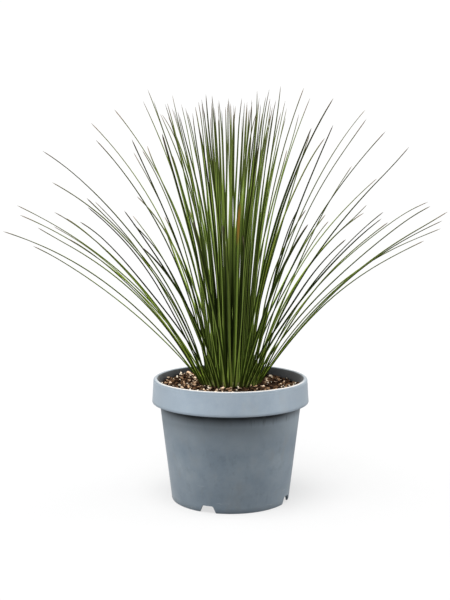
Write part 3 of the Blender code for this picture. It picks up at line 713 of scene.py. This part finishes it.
def pot_piece():
    top = POT_HEIGHT
    inner = lambda z: body_r(z) - WALL
    foot = [(BASE_R - FOOT_W + 0.0004, 0.0), (BASE_R - 0.0012, 0.0)]
    rise = (body_r(SKIRT_TOP_Z - 0.0008), SKIRT_TOP_Z - 0.0008)
    profile = [(0.0, FLOOR_Z), (0.0600, FLOOR_Z), (BASE_R - FOOT_W - 0.0014, FLOOR_Z)]
    profile += [(BASE_R - FOOT_W - 0.0004, FLOOR_Z - 0.0005), (BASE_R - FOOT_W, FLOOR_Z - 0.0016)]
    profile += foot + [(body_r(0) - 0.0004, 0.0004), (body_r(0.0014), 0.0014)]
    profile += straight((body_r(0.0014), 0.0014), rise, 26) + [rise]
    profile += [(rise[0] + 0.0006, SKIRT_TOP_Z), (RIM_R - SKIRT - 0.0010, SKIRT_TOP_Z), (RIM_R - SKIRT, SKIRT_TOP_Z - 0.0010)]
    low_in = (COLLAR_R - SKIRT, COLLAR_Z + 0.0008)
    profile += straight(profile[-1], low_in, 8) + [low_in, (COLLAR_R - SKIRT + 0.0003, COLLAR_Z + 0.0001)]
    profile += [(COLLAR_R - 0.0009, COLLAR_Z), (COLLAR_R - 0.0003, COLLAR_Z + 0.0003), (COLLAR_R, COLLAR_Z + 0.0010)]
    high_out = (RIM_R + 0.0004, top - 0.0050)
    profile += straight(profile[-1], high_out, 10) + [high_out]
    profile += arc(RIM_R - 0.0034, top - 0.0038, 0.0038, 8, 90, 8)
    profile += arc(inner(top) + 0.0034, top - 0.0034, 0.0034, 90, 176, 8)[0:]
    profile += straight(profile[-1], (inner(0.150), 0.150), 6) + straight((inner(0.150), 0.150), (inner(0.018), 0.018), 6)
    profile += [(inner(FLOOR_Z + FLOOR + 0.0020), FLOOR_Z + FLOOR + 0.0020), (inner(FLOOR_Z + FLOOR) - 0.0018, FLOOR_Z + FLOOR), (0.0, FLOOR_Z + FLOOR)]
    bm = bmesh.new()
    verts = [bm.verts.new((r, 0.0, z)) for r, z in profile]
    edges = [bm.edges.new(pair) for pair in zip(verts, verts[1:])]
    bmesh.ops.spin(bm, geom=verts + edges, cent=(0, 0, 0), axis=(0, 0, 1), angle=2 * math.pi, steps=216, use_duplicate=False)
    bmesh.ops.remove_doubles(bm, verts=bm.verts, dist=0.00001)
    bm.normal_update()
    bmesh.ops.recalc_face_normals(bm, faces=bm.faces)
    mesh = bpy.data.meshes.new("pot_wall")
    bm.to_mesh(mesh)
    bm.free()
    pot = bpy.data.objects.new("pot_wall", mesh)
    bpy.context.scene.collection.objects.link(pot)
    tools = []
    for way in NOTCHES:
        turn = Matrix.Rotation(math.radians(way), 4, "Z")
        bm = bmesh.new()
        outline = [(-0.5 * NOTCH_FOOT_W * 1.18, -0.0020)]
        # a splayed notch with rounded shoulders
        for side in (-1, 1):
            cx, cz, r = side * (0.5 * NOTCH_TOP_W - 0.0008), NOTCH_H - 0.0022, 0.0022
            angles = np.linspace(150, 90, 5) if side < 0 else np.linspace(90, 30, 5)
            outline += [(cx + r * math.cos(math.radians(a)), cz + r * math.sin(math.radians(a))) for a in angles]
        outline.append((0.5 * NOTCH_FOOT_W * 1.18, -0.0020))
        near = [bm.verts.new((BASE_R - 0.012, y, z)) for y, z in outline]
        far = [bm.verts.new((BASE_R + 0.008, y, z)) for y, z in outline]
        bm.faces.new(near)
        bm.faces.new(list(reversed(far)))
        for k in range(len(outline)):
            j = (k + 1) % len(outline)
            bm.faces.new((near[j], near[k], far[k], far[j]))
        bm.transform(turn)
        tools.append(bm)
        bm = bmesh.new()
        bmesh.ops.create_cone(bm, cap_ends=True, segments=40, radius1=HOLE_R, radius2=HOLE_R, depth=0.012)
        bm.transform(turn @ Matrix.Translation((HOLE_AT, 0, FLOOR_Z + 0.5 * FLOOR)))
        tools.append(bm)
    cutters = []
    for number, bm in enumerate(tools):
        bm.normal_update()
        bmesh.ops.recalc_face_normals(bm, faces=bm.faces)
        data = bpy.data.meshes.new(f"pot_tool_{number}")
        bm.to_mesh(data)
        bm.free()
        cutter = bpy.data.objects.new(f"pot_tool_{number}", data)
        bpy.context.scene.collection.objects.link(cutter)
        cutters.append(cutter)
        mod = pot.modifiers.new(f"cut_{number}", "BOOLEAN")
        mod.operation, mod.solver, mod.object = "DIFFERENCE", "EXACT", cutter
    graph = bpy.context.evaluated_depsgraph_get()
    made = bpy.data.meshes.new_from_object(pot.evaluated_get(graph))
    made.name = "pot_look"
    for obj in cutters + [pot]:
        bpy.data.objects.remove(obj, do_unlink=True)
    return finish_object("pot_look", made, plastic_material(), ["nursery_pot"], 30)


# ---- potting mix -------------------------------------------------------------------------
def mix_height(x, y):
    """Height of the mix's surface: highest round the crown, with lumps and hollows."""
    r = math.hypot(x, y)
    base = MIX_Z + (MIX_EDGE_Z - MIX_Z) * min(max((r - 0.050) / 0.058, 0.0), 1.0)
    lumps = noise.noise(Vector((x * 38, y * 38, 3.1))) * 0.0022 + noise.noise(Vector((x * 110, y * 110, 7.7))) * 0.0013
    # heaped a little against the crown
    heap = 0.0030 * math.exp(-(((r - 0.050) / 0.008) ** 2))
    # and drawn up a little towards the back and the left
    drift = 0.0032 * min(max((y * 0.85 - x * 0.5) / 0.075, 0.0), 1.0)
    return base - 0.0008 + lumps + heap + drift


def mix_piece():
    wall = lambda z: body_r(z) - WALL - 0.0006
    turns = 200
    radii = list(np.linspace(0.0, 0.040, 8)) + list(np.linspace(0.0425, 0.1080, 44))
    verts, faces = [], []
    for r in radii[1:]:
        for k in range(turns):
            a = 2 * math.pi * k / turns
            x, y = r * math.cos(a), r * math.sin(a)
            z = mix_height(x, y)
            if r < 0.046:
                z -= 0.004 * min((0.046 - r) / 0.006, 1.0)
            if r > 0.1079:
                # settled away from the wall
                rr = wall(MIX_EDGE_Z) - 0.0004
                x, y, z = rr * math.cos(a), rr * math.sin(a), z - 0.0012
            verts.append((x, y, z))
    rows = len(radii) - 1
    for row in range(rows - 1):
        for k in range(turns):
            j = (k + 1) % turns
            faces.append((row * turns + k, (row + 1) * turns + k, (row + 1) * turns + j, row * turns + j))
    faces.append(tuple(range(turns)))
    low = FLOOR_Z + FLOOR + GAP
    sides = [(wall(0.120), 0.120), (wall(0.060), 0.060), (wall(low + 0.0022), low + 0.0022), (wall(low) - 0.0020, low)]
    start = (rows - 1) * turns
    for r, z in sides:
        at = len(verts)
        for k in range(turns):
            a = 2 * math.pi * k / turns
            verts.append((r * math.cos(a), r * math.sin(a), z))
        for k in range(turns):
            j = (k + 1) % turns
            faces.append((start + k, at + k, at + j, start + j))
        start = at
    faces.append(tuple(reversed(range(start, start + turns))))
    mesh = bpy.data.meshes.new("mix_look")
    mesh.from_pydata(verts, [], faces)
    bm = bmesh.new()
    bm.from_mesh(mesh)
    bm.normal_update()
    bmesh.ops.recalc_face_normals(bm, faces=bm.faces)
    bm.to_mesh(mesh)
    bm.free()
    return finish_object("mix_look", mesh, mix_material(), ["potting_mix"], 60)


def chip_shapes(rng, count, size, shape_noise):
    """Unit chips: rough convex lumps, as (points, faces)."""
    shapes = []
    for _ in range(count):
        bm = bmesh.new()
        number = int(rng.integers(11, 17))
        for _ in range(number):
            d = rng.normal(size=3)
            d /= np.linalg.norm(d)
            p = d * (1 - shape_noise * rng.random())
            # broken edges are nearer a box than a ball
            p = np.sign(p) * np.abs(p) ** 0.75
            bm.verts.new(p * size)
        result = bmesh.ops.convex_hull(bm, input=bm.verts)
        loose = [v for v in bm.verts if not v.link_faces]
        bmesh.ops.delete(bm, geom=loose, context="VERTS")
        bm.normal_update()
        bmesh.ops.recalc_face_normals(bm, faces=bm.faces)
        bm.verts.index_update()
        shapes.append((np.array([v.co[:] for v in bm.verts]), [tuple(v.index for v in f.verts) for f in bm.faces]))
        bm.free()
    return shapes


def chips_piece(name, seed, number, sizes, squash, mat, lift, inner, tone_power=1.0, lying=35, outer=0.1068, patches=None):
    rng = np.random.default_rng(seed)
    shapes = chip_shapes(rng, 26, 1.0, 0.35)
    verts, faces, tone = [], [], []
    for _ in range(number):
        points, sides = shapes[int(rng.integers(len(shapes)))]
        r = math.sqrt(rng.uniform(inner**2, outer**2))
        a = rng.uniform(0, 2 * math.pi)
        x, y = r * math.cos(a), r * math.sin(a)
        # thickest at the left and front, but not against the wall
        thick = -1.6 * x - 1.3 * y - 11.0 * max(-x - 0.076, 0.0)
        if patches is not None and noise.noise(Vector((x * 55, y * 55, patches))) + thick < rng.uniform(-0.45, 0.35):
            continue
        big = 0.5 * rng.uniform(*sizes) * (1 - 0.35 * rng.random())
        scale = np.array([big, big * rng.uniform(0.45, 0.8), big * squash * rng.uniform(0.7, 1.3)])
        turn = (
            Matrix.Rotation(rng.uniform(0, 2 * math.pi), 3, "Z")
            @ Matrix.Rotation(math.radians(rng.uniform(-lying, lying)), 3, "X")
            @ Matrix.Rotation(math.radians(rng.uniform(-lying, lying)), 3, "Y")
        )
        turned = (points * scale) @ np.array(turn).T
        z = mix_height(x, y) + lift * big * rng.uniform(-0.3, 1.0)
        limit = body_r(z) - WALL - 0.0008
        reach = np.hypot(turned[:, 0] + x, turned[:, 1] + y).max()
        if reach > limit:
            pull = (limit - (reach - r)) / r
            x, y = x * pull, y * pull
        first = len(verts)
        verts.extend((turned + np.array([x, y, z])).tolist())
        faces.extend(tuple(first + v for v in side) for side in sides)
        tone.extend([float(rng.random()) ** tone_power] * len(points))
    mesh = bpy.data.meshes.new(name)
    mesh.from_pydata(verts, [], faces)
    mesh.attributes.new("tone", "FLOAT", "POINT").data.foreach_set("value", tone)
    mesh.update()
    return finish_object(name, mesh, mat, [], 28)


def crown_piece():
    """The short stem: a dome of old, closely set leaf bases, with its foot in the mix."""
    turns = 144
    radii = list(np.linspace(0.0, CROWN_R - 0.0012, 30))
    verts, faces = [], []
    for r in radii[1:]:
        for k in range(turns):
            a = 2 * math.pi * k / turns
            x, y = r * math.cos(a), r * math.sin(a)
            scale = noise.noise(Vector((x * 260, y * 260, 1.0))) * 0.0010 + noise.noise(Vector((x * 90, y * 90, 5.0))) * 0.0008
            verts.append((x, y, dome_z(r) - 0.0007 + scale))
    rows = len(radii) - 1
    for row in range(rows - 1):
        for k in range(turns):
            j = (k + 1) % turns
            faces.append((row * turns + k, (row + 1) * turns + k, (row + 1) * turns + j, row * turns + j))
    faces.append(tuple(range(turns)))
    start = (rows - 1) * turns
    for r, z in ((CROWN_R - 0.0006, MIX_Z - 0.004), (CROWN_R - 0.0004, SOCKET_Z + 0.006), (CROWN_R - 0.005, SOCKET_Z + GAP)):
        at = len(verts)
        for k in range(turns):
            a = 2 * math.pi * k / turns
            verts.append((r * math.cos(a), r * math.sin(a), z))
        for k in range(turns):
            j = (k + 1) % turns
            faces.append((start + k, at + k, at + j, start + j))
        start = at
    faces.append(tuple(reversed(range(start, start + turns))))
    mesh = bpy.data.meshes.new("crown_look")
    mesh.from_pydata(verts, [], faces)
    bm = bmesh.new()
    bm.from_mesh(mesh)
    bm.normal_update()
    bmesh.ops.recalc_face_normals(bm, faces=bm.faces)
    bm.to_mesh(mesh)
    bm.free()
    return finish_object("crown_look", mesh, crown_material(), ["crown"], 60)


# ---- the object ---------------------------------------------------------------------------
grown = leaf_material("leaf_green", 0.0)
young = leaf_material("young_leaf_green", 1.0)
for number, (name, ring, leaves) in enumerate(place_leaves()):
    spread = name.startswith(("left", "right"))
    leaf_piece(name, ring, leaves, grown if spread else young, number)
pot_piece()
mix_piece()
crown_piece()
bark_dark = chip_material("bark_dark", (0.005, 0.003, 0.002), (0.026, 0.013, 0.006), (0.120, 0.066, 0.034), 420.0)
bark_tan = chip_material("bark_tan", (0.060, 0.028, 0.012), (0.350, 0.220, 0.128), (0.820, 0.650, 0.490), 380.0)
pumice = chip_material("pumice", (0.400, 0.320, 0.230), (0.640, 0.550, 0.430), (0.820, 0.760, 0.640), 620.0)
chips_piece("bark_chips_dark", 11, 1500, (0.0050, 0.0110), 0.42, bark_dark, 0.45, 0.046)
chips_piece("bark_chips_tan", 12, 940, (0.0048, 0.0105), 0.42, bark_tan, 0.80, 0.047, 1.0, 35, 0.1068, 4.0)
chips_piece("pumice_grains", 13, 330, (0.0040, 0.0082), 0.62, pumice, 0.95, 0.048, 1.0, 90, 0.1068, 9.0)

# ---- floor, light and camera -----------------------------------------------------------------
scene = bpy.context.scene
bm = bmesh.new()
bmesh.ops.create_circle(bm, cap_ends=True, segments=96, radius=40.0)
data = bpy.data.meshes.new("studio_floor")
bm.to_mesh(data)
bm.free()
floor = bpy.data.objects.new("studio_floor", data)
floor.location = (0, 0, -0.0002)
scene.collection.objects.link(floor)
paper = Nodes("studio_paper")
data.materials.append(paper.done((0.105, 0.105, 0.105, 1.0), 0.95, None, 0.0))
# lit from below as well, so that shadows on it stay faint
paper.shader.inputs["Emission Color"].default_value = (1.0, 1.0, 1.0, 1.0)
paper.shader.inputs["Emission Strength"].default_value = 0.68
paper.mat.cycles.emission_sampling = "NONE"
# the floor throws no light back up at the object
floor.visible_diffuse = False
floor.visible_glossy = False

# A pale room: white near the horizon all round, dim overhead, where the big light hangs, and dark below.
world = bpy.data.worlds.new("studio")
scene.world = world
world.use_nodes = True
tree = world.node_tree
room = tree.nodes.new("ShaderNodeTexCoord")
split = tree.nodes.new("ShaderNodeSeparateXYZ")
tree.links.new(room.outputs["Generated"], split.inputs[0])
level = tree.nodes.new("ShaderNodeMapRange")
level.inputs["From Min"].default_value = -1.0
tree.links.new(split.outputs["Z"], level.inputs["Value"])
bands = tree.nodes.new("ShaderNodeValToRGB")
steps = [(0.440, 0.16), (0.490, 1.0), (0.670, 1.0), (0.760, 0.35)]
while len(bands.color_ramp.elements) < len(steps):
    bands.color_ramp.elements.new(0.5)
for element, (at, bright) in zip(bands.color_ramp.elements, steps):
    element.position = at
    element.color = (bright, bright, bright, 1.0)
tree.links.new(level.outputs["Result"], bands.inputs["Fac"])
tree.links.new(bands.outputs["Color"], tree.nodes["Background"].inputs["Color"])
tree.nodes["Background"].inputs["Strength"].default_value = 1.03


def lamp(name, place, aim, strength, spread):
    """A far, broad light: strength is what falls on a sheet that faces it, spread its width in degrees."""
    light = bpy.data.lights.new(name, "SUN")
    light.energy = strength
    light.angle = math.radians(spread)
    obj = bpy.data.objects.new(name, light)
    obj.location = place
    obj.rotation_euler = (Vector(aim) - Vector(place)).to_track_quat("-Z", "Y").to_euler()
    scene.collection.objects.link(obj)
    return obj


lamp("overhead", (-0.17, -0.38, 1.7), (0.0, 0.0, 0.2), 8.0, 38)
lamp("left_strip", (-2.0, 0.45, 0.70), (0.0, 0.0, 0.2), 1.9, 40)
lamp("right_strip", (2.0, 0.55, 0.70), (0.0, 0.0, 0.2), 2.6, 40)

camera_data = bpy.data.cameras.new("photo_view")
camera_data.sensor_fit = "VERTICAL"
camera_data.sensor_height = 24.0
camera_data.lens = EYE_SCALE / 600.0 * 24.0
camera_data.clip_start = 0.05
camera_data.clip_end = 60.0
camera = bpy.data.objects.new("photo_view", camera_data)
camera.location = EYE
camera.rotation_euler = (math.radians(90) - EYE_DOWN, 0, 0)
scene.collection.objects.link(camera)
scene.camera = camera
scene.view_settings.view_transform = "Standard"
scene.view_settings.look = "None"
